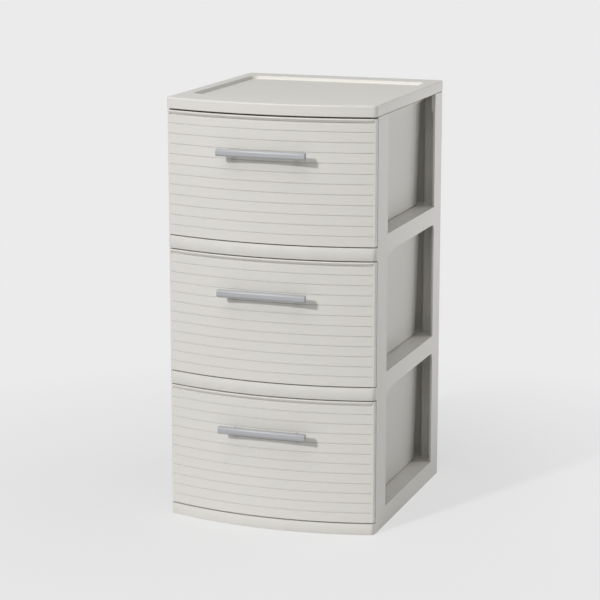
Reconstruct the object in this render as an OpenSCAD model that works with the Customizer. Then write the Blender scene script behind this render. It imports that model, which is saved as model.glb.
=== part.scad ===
// Plastic drawer tower: a stack of moulded tier frames with three bowed drawers and a tray top.
// Millimetres, +Z up, drawers pull out along -Y. The origin is at the middle of the floor footprint.

/* [Overall] */
// Width of the cover, side to side
unit_w = 321; // [290:1:360]
// Depth from the middle of the bowed front to the back
unit_d = 365; // [330:1:420]
// How far the middle of the front stands ahead of its corners
bow = 25; // [12:1:40]
// Radius of the vertical corners
corner_r = 8; // [7.5:0.5:12]

/* [Heights] */
// Clear height of each drawer opening
opening_h = 186.5; // [150:0.5:220]
// Height of the bowed rail between two drawers
front_rail_h = 18.5; // [14:0.5:24]
// Height of the bowed rail of the base
base_rail_h = 16.5; // [12:0.5:24]
// Height of the cover, from the lower edge of its skirt to its top
cover_h = 17; // [15:0.5:24]
// How far the side rails' tops stand above the front rail's top
sill_rise = 12; // [8:0.5:16]
// How far the side rails' undersides stand above the front rail's underside
underside_rise = 3.4; // [2:0.2:6]

/* [Frame] */
// Thickness of the frame's walls
wall = 3; // [2:0.1:3.5]
// Thickness of the ledges, the rails' tops and the rear posts' inner plates
plate_t = 3; // [2:0.1:4]
// Depth of the front posts, seen from the side
front_post_d = 47; // [35:1:60]
// Depth of the rear posts, seen from the side
rear_post_d = 44; // [35:1:60]
// Inside depth of the rear posts' channels
channel_d = 12; // [8:0.5:18]
// Width of the plates that close those channels towards the front
channel_w = 23.5; // [15:0.5:34]
// Width of the front posts' inward flanges
front_flange_w = 14; // [9:0.5:15]
// Width of the rear posts, seen from behind
rear_post_w = 60; // [40:1:75]
// Length of the haunch where a side rail meets a front post
haunch_l = 45; // [20:1:60]
// Height of that haunch
haunch_h = 9; // [4:0.5:16]
// Radius of the other upper corners of the windows
arch_r = 8; // [3:0.5:14]
// Width of the ledges that carry a drawer
ledge_w = 60; // [52:1:75]
// Depth of the cross ledges at the front and the rear of a ring
cross_ledge_d = 46; // [40:1:70]
// Radius of the corners of a ring's middle opening
ring_hole_r = 14; // [6:1:30]
// Thickness of the rim round that opening
ring_rim_t = 2.4; // [1.6:0.2:4]
// Height of that rim
ring_rim_h = 11; // [6:0.5:14]
// Height of the guides under a drawer
guide_h = 2.4; // [1.6:0.1:4]
// Thickness of those guides
guide_t = 2.4; // [1.6:0.2:4]

// How far the lip behind a drawer's front hangs below the opening's top
front_lip_h = 5; // [2:0.5:7]

/* [Leg pegs] */
// Radius of the locating pegs under the legs
peg_r = 3.5; // [2.5:0.1:4]
// How far a peg reaches below its leg
peg_h = 6; // [4:0.5:9]
// Radius of the boss that carries a peg
peg_boss_r = 4.6; // [4.2:0.1:5]
// Height of that boss
peg_boss_h = 26; // [15:1:40]
// Height of the band that carries the top ring on the posts
cap_band_h = 26; // [12:1:40]

/* [Cover] */
// Wall thickness of the cover
cover_t = 3; // [2.2:0.1:3.5]
// How far the cover stands proud of the frame
cover_proud = 0.5; // [0.2:0.1:1]
// Radius of the cover's top edge
cover_edge_r = 4; // [2:0.5:5]
// Depth of the tray in the top
tray_depth = 5; // [4:0.5:7]
// Width of the tray's rim at the sides
tray_side_rim = 19; // [14:1:30]
// Width of the tray's rim at the back
tray_back_rim = 39; // [20:1:60]
// Width of the tray's rim at the front
tray_front_rim = 57; // [30:1:80]
// Radius of the tray's corners
tray_r = 12; // [8:1:25]
// How far the tray's walls lean
tray_lean = 2; // [1:0.5:6]
// Thickness of the ribs under the tray
cover_rib_t = 2; // [1.5:0.1:3]
// Height of the ribs under the tray
cover_rib_h = 5; // [3:0.5:6]

/* [Drawer front] */
// Wall thickness of a drawer's front
front_t = 2.6; // [2:0.1:3.4]
// How far a drawer's front face stands behind the rails' faces
front_recess = 2; // [0.6:0.1:2.2]
// Radius of the front's vertical edges
front_edge_r = 5; // [4.5:0.1:7]
// How far the front's ends reach back
front_return_d = 7.5; // [6:0.5:10]
// Number of grooves across a drawer's front
groove_count = 11; // [5:1:14]
// Distance from the front's top edge to its first groove
groove_top = 19.2; // [14:0.1:24]
// Height of a groove
groove_h = 1.2; // [0.6:0.1:1.6]
// Depth of a groove
groove_d = 0.9; // [0.3:0.1:1.2]
// Distance from a groove's end to the front's edge
groove_end = 4; // [3:0.5:12]
// Radius of the bead along the top edge
bead_r = 2.6; // [2.3:0.1:4]
// Height of the groove under the bead
bead_groove_h = 1.6; // [1:0.1:2.4]
// Distance from the bead's end to the front's edge
bead_end = 4; // [3:0.5:12]

/* [Drawer tub] */
// Half width of the tub at its bottom
tub_bottom_hw = 130; // [110:0.5:132]
// Half width of the tub at its rim
tub_top_hw = 134.5; // [118:0.5:136]
// How far the tub's back leans out towards its rim
tub_lean = 2; // [0:0.5:8]
// Distance from the front's corners to the outside of the tub's back
tub_d = 308.5; // [260:0.5:310]
// Wall thickness of the tub
tub_t = 2.2; // [1.6:0.1:3]
// Radius of the tub's rear corners
tub_corner_r = 8; // [5:0.5:30]
// Radius along the inside of the tub's bottom
tub_edge_r = 6; // [3:0.5:12]
// Thickness of the runners under the tub's sides
runner_t = 2.6; // [1.8:0.1:4]
// Width of the flange round the tub's rim
tub_flange_w = 6; // [3:0.5:6]
// How far the tub's rim lies below the opening's top
tub_rim_drop = 8; // [7:0.5:20]

/* [Drawer stops] */
// Distance from the posts' front faces to the stops on the frame
stop_setback = 30; // [15:1:60]
// How far the frame's stops hang below the opening's top
stop_drop = 5; // [3:0.5:6]
// Width of each stop
stop_w = 20; // [12:1:24]
// Distance from the ring's middle opening to the stops
stop_inset = 5; // [4:0.5:10]

/* [Handle] */
// Length of the handle's bar
bar_l = 135; // [110:1:170]
// Height of the bar
bar_h = 10.8; // [9:0.1:16]
// Thickness of the bar, front to back
bar_t = 7; // [6:0.5:12]
// Radius of the bar's front edges
bar_edge_r = 3.6; // [2:0.2:4.4]
// How far the bar's face stands ahead of the bow
handle_reach = 18; // [15:0.5:32]
// Distance between the handle's two posts
post_pitch = 96; // [64:1:104]
// Radius of a post
post_r = 3.6; // [3.2:0.1:5]
// How far the posts lie below the bar's middle
post_drop = 1.6; // [0:0.1:1.6]
// Distance from the front's top edge to the bar's middle
handle_drop = 51.2; // [40:0.1:100]

/* [Handle screws] */
// Radius of a screw's shank
screw_r = 2; // [1.5:0.1:2.2]
// Radius of a screw's head
screw_head_r = 4; // [3.4:0.1:5]
// Height of a screw's head
screw_head_h = 2.4; // [1.6:0.1:3.2]
// How far a screw reaches into its post
screw_reach = 12; // [8:0.5:14]
// Radius of the flat boss under a screw's head
screw_boss_r = 6; // [5.2:0.1:8]
// Height of that boss
screw_boss_h = 1; // [0.5:0.1:2]

/* [Clearances] */
// Gap between a drawer's front and the rail above it
gap_above = 3; // [1:0.1:4]
// Gap between a drawer's front and the rail below it
gap_below = 1; // [0.5:0.1:3]
// Gap between a drawer's front and the posts behind it
gap_face = 1; // [0.5:0.1:2]
// Running gap between a drawer and its ledges
gap_run = 0.3; // [0.2:0.1:1]
// Gap between a drawer's runners and the guides
gap_guide = 1.2; // [0.8:0.1:2]
// Gap between the cover's skirt and the top ring
gap_fit = 0.3; // [0.2:0.1:0.6]
// Gap between the cover's ribs and the top ring's opening
gap_rib = 2; // [1:0.5:4]
// Radial gap between a locating peg and its hole
gap_peg = 0.3; // [0.15:0.05:0.5]
// Gap between that hole and the walls of the ring
gap_peg_wall = 0.2; // [0.1:0.05:0.3]
// Radial gap between a screw and the hole in the drawer's front
gap_screw = 0.25; // [0.1:0.05:0.5]
// Radial gap between a screw and its post's bore
gap_thread = 0.05; // [0.03:0.01:0.1]
// Gap between a handle's posts and the drawer's face
gap_seat = 0.1; // [0.05:0.05:0.3]

/* [Hidden] */
$fn = 48;

plastic = "#cfccc6";
cover_plastic = "#d3d0ca";
silver = "#a9adb4";
steel = "#8d8f92";

eps = 0.01;
past = 1;
far = 1000;
bow_facets = 360;
bow_steps = 32;
corner_steps = 8;
edge_steps = 3;
rib_count = 3;

// Plan: the bow's arc runs through the front corners, and its centre lies behind the tower
half_w = unit_w / 2;
y_apex = handle_reach - (unit_d + handle_reach) / 2;
y_corner = y_apex + bow;
y_back = y_apex + unit_d;
bow_r = (half_w * half_w + bow * bow) / (2 * bow);
bow_cy = y_apex + bow_r;
frame_hw = half_w - cover_proud;
y_face = y_corner + front_return_d + gap_face;

// Heights of the lowest tier; each tier above repeats it one pitch higher
tiers = 3;
pitch = opening_h + front_rail_h;
sill_z = base_rail_h + sill_rise;
opening_top = base_rail_h + opening_h;
frame_top_z = base_rail_h + tiers * pitch - front_rail_h;
unit_h = frame_top_z + cover_h;
tray_z = unit_h - tray_depth;
cap_ring_z = tray_z - cover_t;

// Windows
win_front_y = y_face + front_post_d;
win_back_y = y_back - rear_post_d;
win_top_z = opening_top + underside_rise;
haunch_power = 1.4;
haunch_steps = 10;

// Ring opening and the pegs in the posts' corners
hole_hw = frame_hw - ledge_w;
hole_front_y = y_face + cross_ledge_d;
hole_back_y = y_back - cross_ledge_d;
peg_in = wall + gap_peg_wall + gap_peg + peg_r;
peg_x = frame_hw - peg_in;
peg_front_y = y_face + peg_in;
peg_back_y = y_back - cover_proud - peg_in;

// Inner plates of the rear posts
channel_y = y_back - cover_proud - wall - channel_d - plate_t;
channel_x = frame_hw - channel_w;

// Drawer
front_hw = frame_hw - cover_proud;
front_z = base_rail_h + gap_below;
front_top_z = opening_top - gap_above;
front_end_y = y_face - gap_face;
groove_pitch = (front_top_z - groove_top - front_z) / groove_count;
bead_foot_z = front_top_z - bead_r - sqrt(pow(bead_r, 2) - pow(bead_r - front_recess, 2));
tub_z = sill_z + gap_run;
runner_h = guide_h + gap_guide;
tub_floor_z = tub_z + runner_h + tub_t;
tub_rim_z = opening_top - tub_rim_drop;
tub_back_y = y_corner + tub_d;
stop_x = hole_hw + stop_inset;
stop_y = y_face + stop_setback;
stop_tab_z = opening_top - gap_below;
guide_x = tub_bottom_hw - runner_t - gap_guide - guide_t / 2;

// Handle
bar_z = front_top_z - handle_drop;
bar_y = y_apex - handle_reach;
post_x = post_pitch / 2;
post_z = bar_z - post_drop;
face_r = bow_r - front_recess;
boss_y = bow_cy - sqrt(pow(face_r - front_t, 2) - pow(post_x, 2)) + screw_boss_h;
screw_l = front_t + screw_boss_h + screw_reach;

// Parallel plan outline, inset by t from the cover's edge
module plan(t) {
    bowed_plan(t, t, t, corner_r - t, corner_r - t);
}

// Where the front corner of radius r has its centre, for an outline inset at the sides and the front
function corner_x(side, r) = half_w - side - r;
function corner_y(side, front, r) =
    bow_cy - sqrt(pow(bow_r - front - r, 2) - pow(corner_x(side, r), 2));

// Outline with a bowed front: insets at the sides, front and back, and radii of the front and rear corners
module bowed_plan(side, front, back, front_r, rear_r) {
    hw = half_w - side;
    yb = y_back - back;
    cx = corner_x(side, front_r);
    cy = corner_y(side, front, front_r);
    run = bow_r - front - front_r;
    reach = bow_r - front + bow;
    end_x = cx * reach / run;
    end_y = bow_cy - (bow_cy - cy) * reach / run;
    peak_y = bow_cy - reach * run / (bow_cy - cy);
    intersection() {
        translate([0, bow_cy]) circle(bow_r - front, $fn = bow_facets);
        polygon([[-cx, cy + eps], [-end_x, end_y], [0, peak_y], [end_x, end_y], [cx, cy + eps]]);
    }
    polygon([
        [-hw, cy], [hw, cy], [hw, yb - rear_r], [hw - rear_r, yb],
        [rear_r - hw, yb], [-hw, yb - rear_r]
    ]);
    for (s = [-1, 1]) {
        translate([s * cx, cy]) circle(front_r);
        translate([s * (hw - rear_r), yb - rear_r]) circle(rear_r);
    }
}

// Points on an arc round [x, y] of radius r, from angle a0 to a1 in n steps
function arc(x, y, r, a0, a1, n) =
    [for (i = [0:n]) let (a = a0 + (a1 - a0) * i / n) [x + r * cos(a), y + r * sin(a)]];

// The same outline as points, for the lofted forms
function bowed_outline(side, front, back, front_r, rear_r) =
    let (
        hw = half_w - side,
        yb = y_back - back,
        cx = corner_x(side, front_r),
        cy = corner_y(side, front, front_r),
        a = asin(cx / (bow_r - front - front_r)),
        b = a * (1 - 2 / bow_steps)
    )
    concat(
        arc(0, bow_cy, bow_r - front, 270 - b, 270 + b, bow_steps - 2),
        arc(cx, cy, front_r, 270 + a, 360, corner_steps),
        arc(hw - rear_r, yb - rear_r, rear_r, 0, 90, corner_steps),
        arc(rear_r - hw, yb - rear_r, rear_r, 90, 180, corner_steps),
        arc(-cx, cy, front_r, 180, 270 - a, corner_steps)
    );

// Solid through outlines of equally many points; rings lists [z, outline] from the bottom up
module loft(rings) {
    n = len(rings[0][1]);
    last = len(rings) - 1;
    points = [for (ring = rings, p = ring[1]) [p[0], p[1], ring[0]]];
    caps = [[for (i = [0:n - 1]) i], [for (i = [n - 1:-1:0]) last * n + i]];
    sides = [
        for (k = [0:last - 1], i = [0:n - 1])
            let (a = k * n + i, b = k * n + (i + 1) % n)
            each [[a, a + n, b + n], [a, b + n, b]]
    ];
    polyhedron(points, concat(caps, sides));
}

// Rectangle from -hw to hw and from y0 to y1 with round corners
module round_rect(hw, y0, y1, r) {
    translate([-hw, y0 + r]) square([2 * hw, y1 - y0 - 2 * r]);
    translate([r - hw, y0]) square([2 * (hw - r), y1 - y0]);
    for (x = [r - hw, hw - r], y = [y0 + r, y1 - r]) translate([x, y]) circle(r);
}

// Half planes behind and ahead of the posts' front faces
module behind_face() {
    translate([-far, y_face]) square([2 * far, far]);
}

module ahead_of_face() {
    translate([-far, y_face + wall - far]) square([2 * far, far]);
}

module slab(z0, z1) {
    translate([0, 0, z0]) linear_extrude(z1 - z0) children();
}

// Rounded corner cut from a window's upper corner; s is the side it lies on
module corner_web(s, r) {
    mirror([s < 0 ? 1 : 0, 0]) difference() {
        translate([-r, -r]) square([r + eps, r + eps]);
        translate([-r, -r]) circle(r);
    }
}

// Side window, as a profile in Y and Z, with a haunch at the front post
module side_window_profile() {
    difference() {
        translate([win_front_y, sill_z - past])
            square([win_back_y - win_front_y, win_top_z - sill_z + past]);
        translate([win_back_y, win_top_z]) corner_web(1, arch_r);
        polygon(concat([[win_front_y - eps, win_top_z + eps]], [
            for (i = [0:haunch_steps])
                let (a = 90 * i / haunch_steps)
                [
                    win_front_y + haunch_l * (1 - pow(cos(a), 2 / haunch_power)),
                    win_top_z - haunch_h * (1 - pow(sin(a), 2 / haunch_power))
                ]
        ]));
    }
}

// Rear window, as a profile in X and Z
module rear_window_profile() {
    hw = frame_hw - rear_post_w;
    difference() {
        translate([-hw, sill_z - past]) square([2 * hw, win_top_z - sill_z + past]);
        for (s = [-1, 1]) translate([s * hw, win_top_z]) corner_web(s, arch_r);
    }
}

// Square-cornered windows of the top tier, which end at the cover's skirt
module plain_window_profile(u0, u1) {
    translate([u0, sill_z - past]) square([u1 - u0, opening_top - sill_z + past]);
}

module along_x() {
    translate([-far / 2, 0, 0]) rotate([90, 0, 90]) linear_extrude(far) children();
}

module along_y(y0, y1) {
    translate([0, y1, 0]) rotate([90, 0, 0]) linear_extrude(y1 - y0) children();
}

// Ring that carries a drawer: the bowed rail with its cap, the cross wall, the ledges and the guides.
// The cross wall starts at wall_z.
module drawer_ring(z, rail_h, wall_z) {
    rail_top = z - sill_rise;
    rail_z = rail_top - rail_h;
    difference() {
        union() {
            slab(rail_z, rail_top) difference() {
                intersection() { plan(cover_proud); ahead_of_face(); }
                plan(cover_proud + wall);
            }
            slab(rail_top - plate_t, rail_top) intersection() { plan(cover_proud); ahead_of_face(); }
            slab(wall_z, z) intersection() {
                plan(cover_proud);
                translate([-frame_hw, y_face]) square([2 * frame_hw, wall]);
            }
            slab(z - plate_t, z) intersection() { plan(cover_proud); behind_face(); }
            slab(z - ring_rim_h, z) round_rect(
                hole_hw + ring_rim_t, hole_front_y - ring_rim_t, hole_back_y + ring_rim_t,
                ring_hole_r + ring_rim_t
            );
            for (s = [-1, 1])
                translate([s * guide_x - guide_t / 2, hole_front_y, z - plate_t / 2])
                    cube([guide_t, hole_back_y - hole_front_y, guide_h + plate_t / 2]);
        }
        slab(z - far / 2, z + past) round_rect(hole_hw, hole_front_y, hole_back_y, ring_hole_r);
        for (x = [-peg_x, peg_x], y = [peg_front_y, peg_back_y])
            translate([x, y, z - plate_t - past]) cylinder(r = peg_r + gap_peg, h = plate_t + 2 * past);
    }
}

// The four L-shaped legs' pegs, each on a boss in the corner of its leg
module leg_pegs() {
    for (x = [-peg_x, peg_x], y = [peg_front_y, peg_back_y]) {
        translate([x, y, sill_z]) cylinder(r = peg_boss_r, h = peg_boss_h);
        translate([x, y, sill_z - peg_h]) cylinder(r = peg_r, h = peg_h + past);
    }
}

// Plates that hang from a ring and stop the drawer below it
module drawer_stops(z_top) {
    for (s = [-1, 1])
        translate([s * (stop_x + stop_w / 2) - stop_w / 2, stop_y, opening_top - stop_drop])
            cube([stop_w, wall, z_top - opening_top + stop_drop]);
}

// Inward flanges along the front edges of the front posts
module front_flanges(z_top) {
    for (s = [-1, 1]) slab(sill_z, z_top) intersection() {
        plan(cover_proud);
        translate([s * (frame_hw - front_flange_w / 2) - front_flange_w / 2, y_face])
            square([front_flange_w, wall]);
    }
}

// Inner plates that close the rear posts into channels, inset by t at the sides
module rear_channels(z0, z_top, t) {
    for (s = [-1, 1]) slab(z0, z_top) intersection() {
        plan(t);
        translate([s * (channel_x + channel_w / 2) - channel_w / 2, channel_y])
            square([channel_w, plate_t]);
    }
}

module base_body() {
    slab(0, sill_z) difference() {
        intersection() { plan(cover_proud); behind_face(); }
        plan(cover_proud + wall);
    }
    drawer_ring(sill_z, base_rail_h, 0);
}

// Tier frame of the lower tiers: a ring on four legs
module tier_body() {
    ring_z = sill_z + pitch;
    difference() {
        slab(sill_z, ring_z) difference() {
            intersection() { plan(cover_proud); behind_face(); }
            plan(cover_proud + wall);
        }
        along_x() side_window_profile();
        along_y(y_back - rear_post_d / 2, y_back + past) rear_window_profile();
    }
    drawer_ring(ring_z, front_rail_h, opening_top - front_lip_h);
    front_flanges(opening_top + past);
    rear_channels(sill_z, ring_z - plate_t / 2, cover_proud);
    leg_pegs();
    drawer_stops(ring_z - plate_t / 2);
}

// Tier frame of the top tier: its ring is low and stands inside the cover's skirt
module cap_tier_body() {
    ring_t = cover_t + gap_fit;
    cap_h = cap_ring_z - (frame_top_z - opening_top);
    difference() {
        union() {
            slab(sill_z, opening_top) difference() {
                intersection() { plan(cover_proud); behind_face(); }
                plan(cover_proud + wall);
            }
            slab(opening_top - cap_band_h, opening_top) difference() {
                intersection() { plan(cover_proud + wall / 2); behind_face(); }
                plan(ring_t + wall);
            }
        }
        along_x() plain_window_profile(win_front_y, win_back_y);
        along_y(y_back - rear_post_d / 2, y_back + past)
            plain_window_profile(rear_post_w - frame_hw, frame_hw - rear_post_w);
    }
    slab(opening_top - eps, cap_h) difference() {
        plan(ring_t);
        plan(ring_t + wall);
    }
    slab(cap_h - plate_t, cap_h) difference() {
        plan(ring_t);
        round_rect(hole_hw, hole_front_y, hole_back_y, ring_hole_r);
    }
    slab(opening_top - front_lip_h, cap_h) intersection() {
        plan(ring_t);
        translate([-frame_hw, y_face]) square([2 * frame_hw, wall]);
    }
    front_flanges(opening_top + eps);
    rear_channels(sill_z, opening_top, cover_proud);
    rear_channels(opening_top - eps, cap_h, ring_t);
    leg_pegs();
    drawer_stops(cap_h - plate_t / 2);
}

module raise(tier) {
    translate([0, 0, tier * pitch]) children();
}

module base_frame() {
    color(plastic) base_body();
}

module frame_tier(tier) {
    color(plastic) raise(tier) tier_body();
}

module frame_top() {
    color(plastic) raise(tiers - 1) cap_tier_body();
}

// Tray outline, grown by g
module tray_plan(g) {
    bowed_plan(tray_side_rim - g, tray_front_rim - g, tray_back_rim - g, tray_r + g, tray_r + g);
}

function tray_outline(g) =
    bowed_outline(tray_side_rim - g, tray_front_rim - g, tray_back_rim - g, tray_r + g, tray_r + g);

function plan_outline(t) = bowed_outline(t, t, t, corner_r - t, corner_r - t);

// The cover's outside, with its round top edge
module cover_block() {
    loft(concat([[frame_top_z, plan_outline(0)]], [
        for (i = [0:edge_steps])
            let (a = 90 * i / edge_steps)
            [unit_h - cover_edge_r * (1 - sin(a)), plan_outline(cover_edge_r * (1 - cos(a)))]
    ]));
}

module top_cover() {
    color(cover_plastic) difference() {
        union() {
            difference() {
                cover_block();
                slab(frame_top_z - past, cap_ring_z) plan(cover_t);
                slab(cap_ring_z - past, unit_h - cover_t) difference() {
                    plan(cover_t);
                    tray_plan(cover_t);
                }
            }
            cover_ribs();
        }
        loft([[tray_z, tray_outline(-tray_lean)], [unit_h + tray_depth, tray_outline(tray_lean)]]);
    }
}

// Ribs under the tray, inside the top ring's opening
module cover_ribs() {
    hw = hole_hw - gap_rib;
    y0 = hole_front_y + gap_rib;
    d = hole_back_y - gap_rib - y0;
    z = cap_ring_z - cover_rib_h;
    for (i = [1:rib_count]) {
        u = i / (rib_count + 1);
        translate([(2 * u - 1) * hw - cover_rib_t / 2, y0, z]) cube([cover_rib_t, d, cover_rib_h + past]);
        translate([-hw, y0 + u * d - cover_rib_t / 2, z]) cube([2 * hw, cover_rib_t, cover_rib_h + past]);
    }
}

// Plan of a drawer's front, inset by t from its outer face
module front_plan(t) {
    bowed_plan(half_w - front_hw + t, front_recess + t, 0, front_edge_r - t, front_edge_r - t);
}

// What lies behind a drawer's front, from t inside its outer face
module behind_front(t) {
    slab(0, far) {
        front_plan(t);
        translate([t - front_hw, front_end_y]) square([2 * (front_hw - t), far]);
    }
}

// Groove along the front from height z up to z + h
module front_groove(z, h) {
    slab(z, z + h) difference() {
        translate([groove_end - front_hw, y_apex])
            square([2 * (front_hw - groove_end), front_end_y - y_apex]);
        front_plan(groove_d);
    }
}

module front_panel() {
    difference() {
        slab(front_z, front_top_z) difference() {
            front_plan(0);
            front_plan(front_t);
        }
        translate([-far / 2, front_end_y, 0]) cube([far, far, far]);
        for (i = [0:groove_count - 1])
            front_groove(front_top_z - groove_top - i * groove_pitch - groove_h / 2, groove_h);
        front_groove(bead_foot_z - bead_groove_h, bead_groove_h + eps);
    }
    intersection() {
        translate([0, bow_cy, front_top_z - bead_r]) rotate_extrude($fn = bow_facets)
            translate([face_r + front_recess - bead_r, 0]) circle(bead_r);
        translate([bead_end - front_hw, y_apex, front_z])
            cube([2 * (front_hw - bead_end), front_end_y - y_apex, far]);
    }
}

// Outline of the tub: half width hw, back at y1 and rear corners of radius r, open towards the front
function tub_outline(hw, y1, r) =
    concat(
        [[-hw, y_apex - bow], [hw, y_apex - bow]],
        arc(hw - r, y1 - r, r, 0, 90, corner_steps),
        arc(r - hw, y1 - r, r, 90, 180, corner_steps)
    );

// The tub's outline at height z, inset by t; its sides and its back lean out towards the rim
function tub_section(z, t, r) =
    let (u = (z - tub_z) / (tub_rim_z - tub_z))
    tub_outline(
        tub_bottom_hw + u * (tub_top_hw - tub_bottom_hw) - t, tub_back_y - (1 - u) * tub_lean - t, r
    );

module tub_outside() {
    loft([for (z = [tub_z, tub_rim_z]) [z, tub_section(z, 0, tub_corner_r)]]);
}

// The tub's hollow, with a round bottom edge; it ends at the front's inner face
module tub_hollow() {
    r = tub_corner_r - tub_t;
    top_z = tub_rim_z + past;
    intersection() {
        loft(concat([
            for (i = [0:edge_steps])
                let (a = 90 * i / edge_steps, z = tub_floor_z + tub_edge_r * (1 - cos(a)))
                [z, tub_section(z, tub_t + tub_edge_r * (1 - sin(a)), r)]
        ], [[top_z, tub_section(top_z, tub_t, r)]]));
        behind_front(front_t);
    }
}

// The space between the runners, open to the back
module runner_space() {
    hw = tub_bottom_hw - runner_t;
    intersection() {
        translate([-hw, y_apex, tub_z - past]) cube([2 * hw, far, runner_h + past]);
        behind_front(front_t);
    }
}

module drawer_body() {
    difference() {
        union() {
            front_panel();
            intersection() {
                union() {
                    tub_outside();
                    slab(tub_rim_z - tub_t, tub_rim_z)
                        round_rect(tub_top_hw + tub_flange_w, y_apex - bow, tub_back_y + tub_flange_w,
                                   tub_corner_r + tub_flange_w);
                }
                behind_front(front_t / 2);
            }
        }
        tub_hollow();
        runner_space();
        for (s = [-1, 1])
            translate([s * post_x, boss_y + past, post_z]) rotate([90, 0, 0])
                cylinder(r = screw_r + gap_screw, h = 2 * (front_t + screw_boss_h));
    }
    for (s = [-1, 1])
        translate([s * (stop_x + stop_w / 2) - stop_w / 2, tub_back_y - tub_t, tub_rim_z - tub_t / 2])
            cube([stop_w, tub_t, stop_tab_z - tub_rim_z + tub_t / 2]);
    for (s = [-1, 1])
        translate([s * post_x, boss_y, post_z]) rotate([90, 0, 0]) difference() {
            cylinder(r = screw_boss_r, h = front_t / 2 + screw_boss_h);
            translate([0, 0, -past]) cylinder(r = screw_r + gap_screw, h = far);
        }
}

module drawer(tier) {
    color(plastic) raise(tier) drawer_body();
}

// Bar profile in Y and Z, with its front face at y = 0
module bar_profile() {
    r = bar_edge_r;
    translate([r, -bar_h / 2]) square([bar_t - r, bar_h]);
    translate([0, r - bar_h / 2]) square([bar_t, bar_h - 2 * r]);
    for (s = [-1, 1]) translate([r, s * (bar_h / 2 - r)]) circle(r);
}

module handle_body() {
    difference() {
        union() {
            translate([-bar_l / 2, bar_y, bar_z]) rotate([90, 0, 90]) linear_extrude(bar_l) bar_profile();
            for (s = [-1, 1])
                translate([s * post_x, y_corner, post_z]) rotate([90, 0, 0])
                    cylinder(r = post_r, h = y_corner - bar_y - bar_t / 2);
        }
        slab(0, far) front_plan(-gap_seat);
        for (s = [-1, 1])
            translate([s * post_x, y_corner, post_z]) rotate([90, 0, 0])
                cylinder(r = screw_r + gap_thread, h = y_corner - boss_y + screw_l + gap_thread);
    }
}

module handle(tier) {
    color(silver) raise(tier) handle_body();
}

module handle_screw_pair() {
    for (s = [-1, 1]) {
        translate([s * post_x, boss_y + screw_head_h, post_z]) rotate([90, 0, 0])
            cylinder(r = screw_head_r, h = screw_head_h);
        translate([s * post_x, boss_y + eps, post_z]) rotate([90, 0, 0])
            cylinder(r = screw_r, h = screw_l + eps);
    }
}

module handle_screws(tier) {
    color(steel) raise(tier) handle_screw_pair();
}

base_frame();
frame_tier(0);  // frame_bottom
frame_tier(1);  // frame_middle
frame_top();
top_cover();
drawer(0);  // drawer_bottom
drawer(1);  // drawer_middle
drawer(2);  // drawer_top
handle(0);  // handle_bottom
handle(1);  // handle_middle
handle(2);  // handle_top
handle_screws(0);  // handle_screws_bottom
handle_screws(1);  // handle_screws_middle
handle_screws(2);  // handle_screws_top
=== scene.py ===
"""Plastic drawer tower: moulded polypropylene frame, tray-topped cover and three bowed drawers."""

import math

import bmesh
import bpy
from mathutils import Euler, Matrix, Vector


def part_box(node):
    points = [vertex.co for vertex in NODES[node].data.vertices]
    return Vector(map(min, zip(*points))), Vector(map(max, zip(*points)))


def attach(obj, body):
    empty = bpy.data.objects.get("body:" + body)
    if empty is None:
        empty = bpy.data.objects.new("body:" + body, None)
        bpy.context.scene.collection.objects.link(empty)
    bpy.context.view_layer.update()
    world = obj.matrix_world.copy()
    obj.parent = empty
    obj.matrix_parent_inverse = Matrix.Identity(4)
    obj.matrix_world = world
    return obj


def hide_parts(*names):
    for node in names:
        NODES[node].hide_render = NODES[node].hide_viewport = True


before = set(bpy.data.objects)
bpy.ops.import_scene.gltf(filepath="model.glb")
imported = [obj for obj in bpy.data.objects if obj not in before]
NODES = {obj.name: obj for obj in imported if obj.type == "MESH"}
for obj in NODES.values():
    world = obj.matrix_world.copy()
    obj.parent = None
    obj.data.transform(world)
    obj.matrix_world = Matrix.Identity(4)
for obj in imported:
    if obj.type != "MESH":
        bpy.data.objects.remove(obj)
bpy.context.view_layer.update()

MM = 0.001
TIERS = ("bottom", "middle", "top")
FRAME_NODES = ("base_frame", "frame_bottom", "frame_middle", "frame_top")

# The camera that the photograph was taken with, as worked out from the tower's corners and rails
CAMERA_PLACE = (1.0592, -2.9889, 1.0022)
CAMERA_YAW = 19.639
CAMERA_PITCH = -12.316
CAMERA_LENS = 128.2
CAMERA_REACH = 50

STUDIO_WHITE, PAPER_GLOW = "#E9E9E9", "#EBEBEB"
WORLD_LIGHT = 0.17
# Near the tower the floor's own light is this share of what is seen of it; far out it is all of it
PAPER_NEAR_SHARE = 0.7
PAPER_NEAR, PAPER_FAR = 0.3, 0.9
FLOOR_HALF_W = 12
# Only the direction of a sun counts, and not how far off it hangs
SUN_PLACE = 3

# Sizes that the frame's boxes don't give, as in the part's source. So that they show as in the
# photograph, some edges are sharper than there and the tray's walls steeper, the gaps are wider, and
# the grooves deeper: by 0.2 mm on the face, and by 1.3 mm under the bead.
BOW = 25 * MM
COVER_T = 3 * MM
COVER_CORNER_R = 8 * MM
COVER_EDGE_R = 2.2 * MM
TRAY_DEPTH = 5 * MM
TRAY_LEAN = 1.2 * MM
TRAY_R = 12 * MM
TRAY_SIDE, TRAY_FRONT, TRAY_BACK = 19 * MM, 57 * MM, 39 * MM
TRAY_LIP_R, TRAY_FLOOR_R = 0.8 * MM, 1.2 * MM
RIB_T, RIB_H = 2 * MM, 5 * MM
RIB_HALF_W = 98 * MM
RIB_FRONT_Y, RIB_BACK_Y = -92 * MM, 143.5 * MM
# Height of the open seam between the cover's skirt and the frame
SEAM = 0.9 * MM

FRONT_T = 2.6 * MM
FRONT_RECESS = 2 * MM
FRONT_EDGE_R = 3 * MM
FRONT_RETURN = 7.5 * MM
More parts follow.
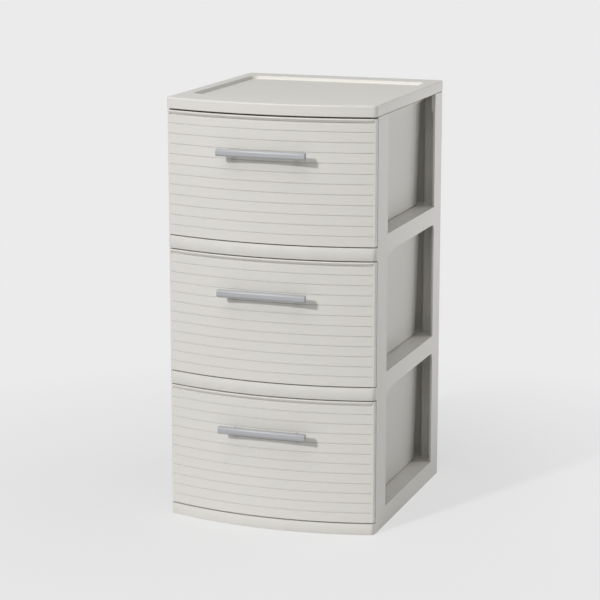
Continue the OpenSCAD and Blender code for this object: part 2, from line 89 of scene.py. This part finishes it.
# How far a front's upper and lower edges are raised, which sets the gaps to the rails
TOP_LIFT, FOOT_LIFT = 1.2 * MM, 0.5 * MM
GROOVES = 11
# How far the middle of the uppermost groove lies below a front's upper edge
GROOVE_TOP = 19.2 * MM
GROOVE_H, GROOVE_D = 1.3 * MM, 1.1 * MM
# Strip at each end of a front where the grooves and the bead stop
PLAIN_END = 3.2 * MM
# The bead's height, the radius of its nose, how far its foot lies behind the face, and the groove there
BEAD_H, BEAD_NOSE_R, BEAD_FOOT_D = 5.2 * MM, 1.4 * MM, 0.9 * MM
BEAD_GROOVE_H, BEAD_GROOVE_D = 2.6 * MM, 2.2 * MM

# How far the tub's rim lies below a front's upper edge, and the runners' foot above its lower edge
TUB_DROP = 5 * MM
TUB_RISE = 11.3 * MM
TUB_BOTTOM_HW, TUB_TOP_HW = 130 * MM, 134.5 * MM
TUB_LEAN = 2 * MM
TUB_D = 308.5 * MM
TUB_T = 2.2 * MM
TUB_CORNER_R = 8 * MM
TUB_EDGE_R = 6 * MM
FLANGE_W = 6 * MM
RUNNER_T, RUNNER_H = 2.6 * MM, 3.6 * MM
# How far a runner's side lies inside the tub's, and how far its foot lies below the tub's wall
RUNNER_SET_IN, RUNNER_LINE = 1.4 * MM, 1.2 * MM
STOP_W, STOP_X, STOP_H = 20 * MM, 105 * MM, 7 * MM
STOP_ABOVE_FRONT = 2 * MM
SCREW_X, BOSS_R, BOSS_H = 48 * MM, 6 * MM, 1 * MM

# Radius or width of small moulded edges
SOFT = 0.5 * MM
FRAME_EDGE, HANDLE_EDGE = 0.6 * MM, 0.5 * MM
# Angles in degrees from which an edge of a drawn piece shades sharp, and one of a CAD node is rounded
SHARP_FROM, BEVEL_FROM = 34, 35

# Steps along a bowed outline's front and its corners, along half a drawer's front, and along a tub's
BOW_STEPS, CORNER_STEPS = 96, 8
FRONT_STEPS = 72
TUB_BOW_STEPS = 48

cover_low, cover_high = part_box("top_cover")
HALF_W = cover_high[0]
Y_APEX, Y_BACK = cover_low[1], cover_high[1]
BOW_R = (HALF_W ** 2 + BOW ** 2) / (2 * BOW)
BOW_Y = Y_APEX + BOW_R


# ---------------------------------------------------------------- colour and node helpers

def linear(hex_colour):
    """sRGB hex to the linear RGBA that Blender's sockets take."""
    parts = [int(hex_colour[i:i + 2], 16) / 255 for i in (1, 3, 5)]
    return [c / 12.92 if c <= 0.04045 else ((c + 0.055) / 1.055) ** 2.4 for c in parts] + [1.0]


def add_node(tree, kind, inputs=None, **settings):
    """Adds a shader node; inputs gives its sockets values, or the sockets that feed them."""
    node = tree.nodes.new("ShaderNode" + kind)
    for name, value in settings.items():
        setattr(node, name, value)
    for socket, value in (inputs or {}).items():
        if isinstance(value, bpy.types.NodeSocket):
            tree.links.new(value, node.inputs[socket])
        else:
            node.inputs[socket].default_value = value
    return node


def backdrop_rays(tree):
    """Socket that is 1 for the rays that show the backdrop: the camera's, and those in gloss or glass."""
    rays = add_node(tree, "LightPath").outputs
    shown = rays["Is Camera Ray"]
    for kind in ("Is Glossy Ray", "Is Transmission Ray"):
        shown = add_node(tree, "Math", {0: shown, 1: rays[kind]}, operation="MAXIMUM").outputs["Value"]
    return shown


def new_material(name):
    """An empty node material, with its Principled shader joined to the output."""
    material = bpy.data.materials.new(name)
    material.use_nodes = True
    tree = material.node_tree
    tree.nodes.clear()
    shader = add_node(tree, "BsdfPrincipled")
    add_node(tree, "OutputMaterial", {"Surface": shader.outputs["BSDF"]})
    return material, tree, shader


# ---------------------------------------------------------------- materials

def moulded_polypropylene(name, body_hex, cloud_hex, roughness, painted_shade_hex=None, painted_shade_from=0.0):
    """Injection-moulded polypropylene from a lightly spark-eroded steel mould.

    To the eye: a soft satin sheen without clear reflections, a fine even grain, and very slow
    clouds of tone and level where the melt flowed and shrank. Past a given place along Y the
    colour turns a shade darker: painted shade, for a part that sits in shade inside the frame.
    """
    material, tree, shader = new_material(name)
    place = add_node(tree, "TexCoord").outputs["Object"]
    clouds = add_node(tree, "TexNoise", {"Vector": place, "Scale": 1 / (140 * MM), "Detail": 3.0})
    tone = add_node(tree, "Mix", {"Factor": clouds.outputs["Fac"]}, data_type="RGBA")
    tone.inputs["A"].default_value = linear(body_hex)
    tone.inputs["B"].default_value = linear(cloud_hex)
    # Painted shade: past a given place along Y the tone is mixed over to a darker colour, for the part of
    # a moulding that sits in shade inside the frame
    if painted_shade_hex:
        change = 3 * MM
        along = add_node(tree, "SeparateXYZ", {"Vector": place}).outputs["Y"]
        painted_shade_mask = add_node(tree, "MapRange", {
            "Value": along, "From Min": painted_shade_from, "From Max": painted_shade_from + change,
        })
        wall = add_node(tree, "Mix", {"Factor": painted_shade_mask.outputs["Result"]}, data_type="RGBA")
        tree.links.new(tone.outputs["Result"], wall.inputs["A"])
        wall.inputs["B"].default_value = linear(painted_shade_hex)
        tone = wall
    # The mould's own grain is near 0.1 mm, and is drawn as coarse as it needs to show
    grain = add_node(tree, "TexNoise", {"Vector": place, "Scale": 1 / (0.9 * MM), "Detail": 2.0})
    sheen_range = add_node(tree, "MapRange", {
        "Value": grain.outputs["Fac"], "To Min": roughness - 0.05, "To Max": roughness + 0.06,
    })
    sink = add_node(tree, "TexNoise", {"Vector": place, "Scale": 1 / (55 * MM), "Detail": 1.0})
    sink_bump = add_node(tree, "Bump", {
        "Height": sink.outputs["Fac"], "Strength": 0.25, "Distance": 0.5 * MM,
    })
    grain_bump = add_node(tree, "Bump", {
        "Height": grain.outputs["Fac"], "Normal": sink_bump.outputs["Normal"],
        "Strength": 0.20, "Distance": 0.05 * MM,
    })
    tree.links.new(tone.outputs["Result"], shader.inputs["Base Color"])
    tree.links.new(sheen_range.outputs["Result"], shader.inputs["Roughness"])
    tree.links.new(grain_bump.outputs["Normal"], shader.inputs["Normal"])
    shader.inputs["IOR"].default_value = 1.49
    return material


def silver_abs():
    """Moulded ABS with a silver pigment: satin, and slightly pearly along the flow."""
    material, tree, shader = new_material("silver_pigmented_abs_moulded")
    place = add_node(tree, "TexCoord").outputs["Object"]
    stretch = add_node(tree, "Mapping", {"Vector": place, "Scale": (0.12, 1.0, 1.0)})
    flow = add_node(tree, "TexNoise", {
        "Vector": stretch.outputs["Vector"], "Scale": 1 / (3 * MM), "Detail": 3.0,
    })
    tone = add_node(tree, "Mix", {"Factor": flow.outputs["Fac"]}, data_type="RGBA")
    tone.inputs["A"].default_value = linear("#A6A7AA")
    tone.inputs["B"].default_value = linear("#B0B1B4")
    # Pigment flakes are near 0.05 mm, and are drawn as coarse as they need to show
    flake = add_node(tree, "TexNoise", {"Vector": place, "Scale": 1 / (0.5 * MM), "Detail": 2.0})
    bump = add_node(tree, "Bump", {
        "Height": flake.outputs["Fac"], "Strength": 0.15, "Distance": 0.02 * MM,
    })
    tree.links.new(tone.outputs["Result"], shader.inputs["Base Color"])
    tree.links.new(bump.outputs["Normal"], shader.inputs["Normal"])
    shader.inputs["Roughness"].default_value = 0.5
    shader.inputs["Metallic"].default_value = 0.15
    shader.inputs["IOR"].default_value = 1.54
    return material


def zinc_plated_steel():
    """Turned steel with bright zinc plating: metallic, with fine turning marks."""
    material, tree, shader = new_material("zinc_plated_steel_turned")
    place = add_node(tree, "TexCoord").outputs["Object"]
    # Turning marks are near 0.1 mm apart, and are drawn as coarse as they need to show
    marks = add_node(tree, "TexNoise", {"Vector": place, "Scale": 1 / (0.6 * MM), "Detail": 3.0})
    tone = add_node(tree, "Mix", {"Factor": marks.outputs["Fac"]}, data_type="RGBA")
    tone.inputs["A"].default_value = linear("#9A9CA0")
    tone.inputs["B"].default_value = linear("#B9BABD")
    tree.links.new(tone.outputs["Result"], shader.inputs["Base Color"])
    shader.inputs["Metallic"].default_value = 1.0
    shader.inputs["Roughness"].default_value = 0.35
    return material


def studio_paper():
    """The floor's matt seamless paper: most of what the camera sees of it is its own light, and far
    out all of it, so it reads as even pale grey and keeps only a soft shadow."""
    material = bpy.data.materials.new("studio_paper_matt")
    material.use_nodes = True
    tree = material.node_tree
    tree.nodes.clear()
    place = add_node(tree, "TexCoord").outputs["Object"]
    # The paper's own tooth is near 0.2 mm, and is drawn as coarse as it needs to show
    grain = add_node(tree, "TexNoise", {"Vector": place, "Scale": 1 / (2 * MM)})
    bump = add_node(tree, "Bump", {
        "Height": grain.outputs["Fac"], "Strength": 0.05, "Distance": 0.05 * MM,
    })
    matt = add_node(tree, "BsdfDiffuse", {
        "Color": linear(STUDIO_WHITE), "Normal": bump.outputs["Normal"],
    })
    glow = add_node(tree, "Emission", {"Color": linear(PAPER_GLOW), "Strength": 1.0})
    away = add_node(tree, "VectorMath", {0: place}, operation="LENGTH")
    own_light = add_node(tree, "MapRange", {
        "Value": away.outputs["Value"],
        "From Min": PAPER_NEAR, "From Max": PAPER_FAR, "To Min": PAPER_NEAR_SHARE,
    })
    share = add_node(tree, "Math", {0: backdrop_rays(tree), 1: own_light.outputs["Result"]},
                     operation="MULTIPLY")
    mixed = add_node(tree, "MixShader", {
        0: share.outputs["Value"], 1: matt.outputs["BSDF"], 2: glow.outputs["Emission"],
    })
    add_node(tree, "OutputMaterial", {"Surface": mixed.outputs["Shader"]})
    return material


# ---------------------------------------------------------------- stage

def make_camera():
    """Camera at the photograph's viewing angle."""
    data = bpy.data.cameras.new("camera")
    data.lens = CAMERA_LENS
    camera = bpy.data.objects.new("camera", data)
    camera.location = CAMERA_PLACE
    camera.rotation_euler = Euler(
        (math.radians(90 + CAMERA_PITCH), 0, math.radians(CAMERA_YAW)), "XYZ")
    data.clip_end = CAMERA_REACH
    bpy.context.scene.collection.objects.link(camera)
    bpy.context.scene.camera = camera


def make_floor():
    """Flat paper under the tower, wide enough that its edge is never seen."""
    half = FLOOR_HALF_W
    mesh = bpy.data.meshes.new("floor")
    mesh.from_pydata([(-half, -half, 0), (half, -half, 0), (half, half, 0), (-half, half, 0)],
                     [], [(0, 1, 2, 3)])
    mesh.materials.append(studio_paper())
    floor = bpy.data.objects.new("floor", mesh)
    bpy.context.scene.collection.objects.link(floor)


def make_world():
    """Even studio light; what looks past the floor sees the same pale grey as the floor."""
    world = bpy.data.worlds.new("studio")
    world.use_nodes = True
    tree = world.node_tree
    tree.nodes.clear()
    light = add_node(tree, "Background", {"Color": (1, 1, 1, 1), "Strength": WORLD_LIGHT})
    paper = add_node(tree, "Background", {"Color": linear(STUDIO_WHITE), "Strength": 1.0})
    mix = add_node(tree, "MixShader", {
        0: backdrop_rays(tree), 1: light.outputs["Background"], 2: paper.outputs["Background"],
    })
    add_node(tree, "OutputWorld", {"Surface": mix.outputs["Shader"]})
    bpy.context.scene.world = world


def hang_lamp(data, azimuth, elevation, distance):
    """Aims a lamp at the tower's middle; azimuth turns from the front (-Y) towards -X."""
    a, e = math.radians(azimuth), math.radians(elevation)
    towards = Vector((-math.sin(a) * math.cos(e), -math.cos(a) * math.cos(e), math.sin(e)))
    lamp = bpy.data.objects.new(data.name, data)
    lamp.location = towards * distance + Vector((0, 0, cover_high[2] / 2))
    lamp.rotation_euler = towards.to_track_quat("Z", "Y").to_euler()
    bpy.context.scene.collection.objects.link(lamp)


def make_sun(name, azimuth, elevation, strength, spread):
    """A far lamp, whose spread softens its shadows."""
    data = bpy.data.lights.new(name, "SUN")
    data.energy = strength
    data.angle = math.radians(spread)
    hang_lamp(data, azimuth, elevation, SUN_PLACE)


def make_softbox(name, azimuth, elevation, strength, distance, size):
    """A near lamp with a square face, so its light falls off down the tower; strength is what
    reaches the tower's middle, on the suns' scale."""
    data = bpy.data.lights.new(name, "AREA")
    data.shape = "SQUARE"
    data.size = size
    data.energy = strength * math.pi * distance ** 2
    hang_lamp(data, azimuth, elevation, distance)


# ---------------------------------------------------------------- shape helpers

def arc(x, y, r, a0, a1, steps):
    """Points on an arc round (x, y) from angle a0 to a1, in degrees."""
    angles = [math.radians(a0 + (a1 - a0) * i / steps) for i in range(steps + 1)]
    return [(x + r * math.cos(a), y + r * math.sin(a)) for a in angles]


def bowed_outline(side, front, back, front_r, rear_r):
    """Outline with a bowed front, inset at the sides, the front and the back."""
    hw, yb = HALF_W - side, Y_BACK - back
    cx = hw - front_r
    run = BOW_R - front - front_r
    cy = BOW_Y - math.sqrt(run ** 2 - cx ** 2)
    a = math.degrees(math.asin(cx / run))
    b = a * (1 - 2 / BOW_STEPS)
    return (arc(0, BOW_Y, BOW_R - front, 270 - b, 270 + b, BOW_STEPS - 2)
            + arc(cx, cy, front_r, 270 + a, 360, CORNER_STEPS)
            + arc(hw - rear_r, yb - rear_r, rear_r, 0, 90, CORNER_STEPS)
            + arc(rear_r - hw, yb - rear_r, rear_r, 90, 180, CORNER_STEPS)
            + arc(-cx, cy, front_r, 180, 270 - a, CORNER_STEPS))


def add_loft(build, rings):
    """Skin through rings of equally many (x, y, z) points, with the first and the last one capped."""
    rows = [[build.verts.new(p) for p in ring] for ring in rings]
    n = len(rows[0])
    for low, high in zip(rows, rows[1:]):
        for i in range(n):
            j = (i + 1) % n
            build.faces.new((low[i], low[j], high[j], high[i]))
    build.faces.new(rows[0][::-1])
    build.faces.new(rows[-1])


def add_box(build, low, high):
    """Box between its lowest and its highest corner."""
    corners = [(low[0], low[1]), (high[0], low[1]), (high[0], high[1]), (low[0], high[1])]
    add_loft(build, [[(x, y, z) for x, y in corners] for z in (low[2], high[2])])


def add_round_bar(build, start, end, r):
    """Cylinder between two points along Y."""
    steps = 32
    circle = [(r * math.cos(a), r * math.sin(a))
              for a in (math.tau * i / steps for i in range(steps))]
    add_loft(build, [[(p[0] + c, p[1], p[2] + s) for c, s in circle] for p in (start, end)])


def level(outline, z):
    """An outline's points, all at height z."""
    return [(x, y, z) for x, y in outline]


def finish_piece(build, name, material, body, node):
    """Turns a bmesh into a named, dressed piece that rides on a body and stands for a CAD node."""
    bmesh.ops.recalc_face_normals(build, faces=build.faces)
    mesh = bpy.data.meshes.new(name)
    build.to_mesh(mesh)
    build.free()
    mesh.materials.append(material)
    mesh.shade_smooth()
    mesh.set_sharp_from_angle(angle=math.radians(SHARP_FROM))
    piece = bpy.data.objects.new(name, mesh)
    bpy.context.scene.collection.objects.link(piece)
    weights = piece.modifiers.new("weights", "WEIGHTED_NORMAL")
    weights.keep_sharp = True
    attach(piece, body)
    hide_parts(node)


def finish_node(name, material):
    """Gives a CAD node its finish."""
    node = NODES[name]
    node.data.materials.clear()
    node.data.materials.append(material)


def soften_edges(name, width):
    """Rounds a CAD node's sharp moulded edges, once its flat faces are whole."""
    node = NODES[name]
    weld = node.modifiers.new("weld", "WELD")
    weld.merge_threshold = 0.001 * MM
    flat = node.modifiers.new("flat", "DECIMATE")
    flat.decimate_type = "DISSOLVE"
    flat.angle_limit = math.radians(0.2)
    bevel = node.modifiers.new("bevel", "BEVEL")
    bevel.width = width
    bevel.segments = 2
    bevel.limit_method = "ANGLE"
    bevel.angle_limit = math.radians(BEVEL_FROM)
    bevel.harden_normals = True


# ---------------------------------------------------------------- the cover

def tray_outline(grow):
    """Outline of the tray at its rim, made wider by grow."""
    return bowed_outline(TRAY_SIDE - grow, TRAY_FRONT - grow, TRAY_BACK - grow,
                         TRAY_R + grow, TRAY_R + grow)


def cover_outline(inset):
    """Outline of the whole cover, made narrower by inset."""
    return bowed_outline(inset, inset, inset, COVER_CORNER_R - inset, COVER_CORNER_R - inset)


def rounded(z, turn, inset, r, steps):
    """Rows (z, inset) of a round edge whose arc turns through the given two angles."""
    rows = []
    for i in range(steps + 1):
        a = math.radians(turn[0] + (turn[1] - turn[0]) * i / steps)
        rows.append((z + r * math.sin(a), inset - r * math.cos(a)))
    return rows


def make_cover(material):
    """The cover moulding: from its underside out over the skirt and the rim, and down into the tray."""
    low_z, high_z = cover_low[2], cover_high[2]
    tray_z = high_z - TRAY_DEPTH
    under_z = tray_z - COVER_T
    rings = [
        level(tray_outline(COVER_T), under_z),
        level(tray_outline(COVER_T), high_z - COVER_T),
        level(cover_outline(COVER_T), high_z - COVER_T),
    ]
    skirt_z = low_z + SEAM + SOFT
    skirt = rounded(skirt_z, (-180, -90), COVER_T - SOFT, SOFT, 2)
    skirt += rounded(skirt_z, (-90, 0), SOFT, SOFT, 2)
    skirt += rounded(high_z - COVER_EDGE_R, (0, 90), COVER_EDGE_R, COVER_EDGE_R, 7)
    rings += [level(cover_outline(t), z) for z, t in skirt]
    tray = [(high_z, TRAY_LIP_R)]
    tray += [(high_z - TRAY_LIP_R * (1 - math.cos(a)), TRAY_LIP_R * (1 - math.sin(a)))
             for a in (math.radians(d) for d in (20, 40))]
    tray += [(tray_z + TRAY_FLOOR_R * (1 - math.sin(a)), -TRAY_LEAN + TRAY_FLOOR_R * math.cos(a) * 0.5)
             for a in (math.radians(d) for d in (25, 50, 70, 90))]
    rings += [level(tray_outline(grow), z) for z, grow in tray]
    build = bmesh.new()
    add_loft(build, rings)
    rib_z, rib_in = under_z - RIB_H, RIB_T / 2
    for i in (1, 2, 3):
        x = RIB_HALF_W * (i / 2 - 1)
        y = RIB_FRONT_Y + (RIB_BACK_Y - RIB_FRONT_Y) * i / 4
        add_box(build, (x - rib_in, RIB_FRONT_Y, rib_z), (x + rib_in, RIB_BACK_Y, under_z))
        add_box(build, (-RIB_HALF_W, y - rib_in, rib_z), (RIB_HALF_W, y + rib_in, under_z))
    finish_piece(build, "cover_moulding", material, "tower", "top_cover")


# ---------------------------------------------------------------- the drawers

def front_path(front_hw):
    """Stations along a drawer's front, from its right end to its left one.

    Each is (x, y, nx, ny, share), where n points outwards, and share is 1 where the grooves and
    the bead are at their full size and 0 on the plain strips at the ends.
    """
    face_r = BOW_R - FRONT_RECESS
    cx = front_hw - FRONT_EDGE_R
    run = face_r - FRONT_EDGE_R
    cy = BOW_Y - math.sqrt(run ** 2 - cx ** 2)
    a = math.asin(cx / run)
    end_y = Y_APEX + BOW + FRONT_RETURN
    half = [(front_hw, end_y - (end_y - cy) * i / 3, 1.0, 0.0) for i in range(3)]
    for i in range(CORNER_STEPS + 1):
        t = (math.pi / 2 - a) * i / CORNER_STEPS
        nx, ny = math.cos(t), -math.sin(t)
        half.append((cx + FRONT_EDGE_R * nx, cy + FRONT_EDGE_R * ny, nx, ny))
    reach = front_hw - PLAIN_END
    spots = [reach + d * MM for d in (1.0, 0.0, -0.25, -0.5, -0.75, -1.0)]
    spots = [x for x in spots if x < cx + FRONT_EDGE_R * math.sin(a) - 0.2 * MM]
    spots += [(spots[-1] - 1 * MM) * (1 - i / FRONT_STEPS) for i in range(FRONT_STEPS + 1)]
    for x in spots:
        nx = x / face_r
        ny = -math.sqrt(1 - nx ** 2)
        half.append((x, BOW_Y + face_r * ny, nx, ny))
    half = [(x, y, nx, ny, min(1.0, max(0.0, (reach - abs(x)) / MM))) for x, y, nx, ny in half]
    mirrored = [(-x, y, -nx, ny, s) for x, y, nx, ny, s in half[-2::-1]]
    return half + mirrored


def front_section(low_z, high_z):
    """Section of a drawer's front as (z, out) pairs: the full one and the plain one, point by point.

    It runs up the outside, over the top edge and down the inside; out is measured from the face.
    """
    # Grooves as (share of the height, share of the depth): one alike on both sides, and one that
    # opens downwards, for the foot of the bead
    half = ((0.3, 1), (0.42, 0.8), (0.52, 0.15), (0.6, 0))
    even = tuple((-side, depth) for side, depth in reversed(half)) + half
    undercut = ((-0.6, 0), (-0.5, 0.1), (-0.2, 0.75), (0, 1), (0.5, 1), (0.58, 0.85), (0.6, 0.5))
    full, plain = [], []

    def both(z, out):
        full.append((z, out))
        plain.append((z, out))

    def groove(z, height, deep, profile):
        for side, depth in profile:
            full.append((z + side * height, -depth * deep))
            plain.append((z + side * height, 0))

    for z, out in ((0, -FRONT_T / 2), (0, -SOFT), (0.15 * SOFT, -0.5 * SOFT), (SOFT, 0)):
        both(low_z + z, out)
    pitch = (high_z - GROOVE_TOP - low_z) / GROOVES
    for i in reversed(range(GROOVES)):
        groove(high_z - GROOVE_TOP - i * pitch, GROOVE_H, GROOVE_D, even)
    foot_z = high_z - BEAD_H
    # The undercut reaches 0.6 of its height up from its middle, so it ends just below the bead's foot
    groove(foot_z - 0.62 * BEAD_GROOVE_H, BEAD_GROOVE_H, BEAD_GROOVE_D, undercut)
    full.append((foot_z, -BEAD_FOOT_D))
    plain.append((foot_z, 0))
    # The bead's round nose starts where its slanting underside ends
    lean = math.atan((FRONT_RECESS + BEAD_FOOT_D) / (BEAD_H - BEAD_NOSE_R))
    brow = 0.3 * SOFT
    steps = 12
    for i in range(steps + 1):
        a = -lean + (math.pi / 2 + lean) * i / steps
        z = high_z - BEAD_NOSE_R * (1 - math.sin(a))
        full.append((z, FRONT_RECESS - BEAD_NOSE_R * (1 - math.cos(a))))
        plain.append((min(z, high_z - brow), 0))
    both(high_z, -FRONT_T + brow)
    both(high_z - brow, -FRONT_T)
    both(low_z, -FRONT_T)
    return full, plain


def add_drawer_front(build, low_z, high_z, front_hw):
    """The bowed front, whose section fades from full to plain towards both ends."""
    full, plain = front_section(low_z, high_z)
    rings = []
    for x, y, nx, ny, share in front_path(front_hw):
        ring = []
        for (zf, of), (zp, op) in zip(full, plain):
            z, out = zp + share * (zf - zp), op + share * (of - op)
            ring.append((x + out * nx, y + out * ny, z))
        rings.append(ring)
    add_loft(build, rings)


def tub_ring(z, inset, front_inset, tub_z, rim_z, corner_r):
    """Outline of the tub at height z; its front edge lies inside the drawer's front."""
    u = (z - tub_z) / (rim_z - tub_z)
    hw = TUB_BOTTOM_HW + u * (TUB_TOP_HW - TUB_BOTTOM_HW) - inset
    y1 = Y_APEX + BOW + TUB_D - (1 - u) * TUB_LEAN - inset
    r = BOW_R - FRONT_RECESS - front_inset
    a = math.degrees(math.asin(hw / r))
    outline = arc(0, BOW_Y, r, 270 - a, 270 + a, TUB_BOW_STEPS)
    outline += arc(hw - corner_r, y1 - corner_r, corner_r, 0, 90, CORNER_STEPS)
    outline += arc(corner_r - hw, y1 - corner_r, corner_r, 90, 180, CORNER_STEPS)
    return level(outline, z)


def add_tub(build, tub_z, rim_z):
    """The tub behind the front: outside wall, flange and inside, with a round bottom edge.

    Its rows are (height, inset, 0 outside or 1 inside).
    """
    floor_z = tub_z + RUNNER_H
    rows = [(tub_z + RUNNER_LINE, 0, 0), (rim_z - TUB_T, 0, 0)]
    rows += [(rim_z - TUB_T, SOFT - FLANGE_W, 0), (rim_z - TUB_T + SOFT, -FLANGE_W, 0)]
    rows += [(rim_z - SOFT, -FLANGE_W, 0), (rim_z, SOFT - FLANGE_W, 0)]
    rows += [(rim_z, TUB_T - SOFT, 1), (rim_z - SOFT, TUB_T, 1)]
    steps = 6
    for i in range(steps + 1):
        a = math.radians(90 * i / steps)
        rows.append((floor_z + TUB_T + TUB_EDGE_R * (1 - math.sin(a)),
                     TUB_T + TUB_EDGE_R * (1 - math.cos(a)), 1))
    # How deep the outside and the inside reach into the front
    embed = (FRONT_T * 0.4, FRONT_T * 0.8)
    rings = []
    for z, inset, side in rows:
        corner = TUB_CORNER_R - (TUB_T if side else min(inset, 0))
        rings.append(tub_ring(z, inset, embed[side], tub_z, rim_z, corner))
    add_loft(build, rings)


def make_drawer(tier, material):
    """One drawer moulding: the bowed front, the tub with its runners, the stop tabs and the bosses."""
    node = f"drawer_{tier}"
    low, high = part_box(node)
    low_z, high_z, front_hw = low[2], high[2] - STOP_ABOVE_FRONT, high[0]
    tub_z = low_z + TUB_RISE
    rim_z = high_z - TUB_DROP
    end_y = Y_APEX + BOW + TUB_D
    build = bmesh.new()
    add_drawer_front(build, low_z + FOOT_LIFT, high_z + TOP_LIFT, front_hw)
    add_tub(build, tub_z, rim_z)
    front_y = Y_APEX + BOW
    for s in (-1, 1):
        outer, inner = s * (TUB_BOTTOM_HW - RUNNER_SET_IN), s * (TUB_BOTTOM_HW - RUNNER_T)
        add_box(build, (min(outer, inner), front_y, tub_z),
                (max(outer, inner), end_y - TUB_LEAN - TUB_CORNER_R / 2, tub_z + RUNNER_H))
        x = s * (STOP_X + STOP_W / 2)
        add_box(build, (x - STOP_W / 2, end_y - TUB_T, rim_z - TUB_T / 2),
                (x + STOP_W / 2, end_y, rim_z + STOP_H))
        screw_low, screw_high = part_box(f"handle_screws_{tier}")
        z = (screw_low[2] + screw_high[2]) / 2
        inside_r = BOW_R - FRONT_RECESS - FRONT_T
        y = BOW_Y - math.sqrt(inside_r ** 2 - SCREW_X ** 2)
        add_round_bar(build, (s * SCREW_X, y - FRONT_T / 2, z), (s * SCREW_X, y + BOSS_H, z), BOSS_R)
    finish_piece(build, f"drawer_moulding_{tier}", material, f"{tier}_drawer", node)


# ---------------------------------------------------------------- the whole scene

bpy.context.scene.view_settings.view_transform = "Standard"
make_camera()
make_floor()
make_world()
make_sun("key", 24, 28, 1.75, 5)
make_softbox("soft_key", 5, 62, 1.2, 1.8, 1.4)
make_softbox("fill", -106, 10, 0.42, 0.9, 0.6)
make_softbox("fill_behind", -130, 13, 0.6, 1.1, 0.6)

frame_plastic = moulded_polypropylene("polypropylene_moulded_frame", "#D8D6D1", "#D5D2CC", 0.50)
cover_plastic = moulded_polypropylene("polypropylene_moulded_cover", "#D9D7D2", "#D6D3CD", 0.50)
# The drawer's tub, behind its front's return, is painted a shade darker: painted shade for where it sits
# inside the frame
drawer_plastic = moulded_polypropylene("polypropylene_moulded_drawer", "#DAD8D3", "#D7D4CE", 0.46,
                                       "#CDCBC6", Y_APEX + BOW + FRONT_RETURN)
silver = silver_abs()
zinc = zinc_plated_steel()

for node_name in FRAME_NODES:
    finish_node(node_name, frame_plastic)
    soften_edges(node_name, FRAME_EDGE)
finish_node("top_cover", cover_plastic)
make_cover(cover_plastic)
for tier in TIERS:
    finish_node(f"drawer_{tier}", drawer_plastic)
    make_drawer(tier, drawer_plastic)
    finish_node(f"handle_{tier}", silver)
    soften_edges(f"handle_{tier}", HANDLE_EDGE)
    finish_node(f"handle_screws_{tier}", zinc)
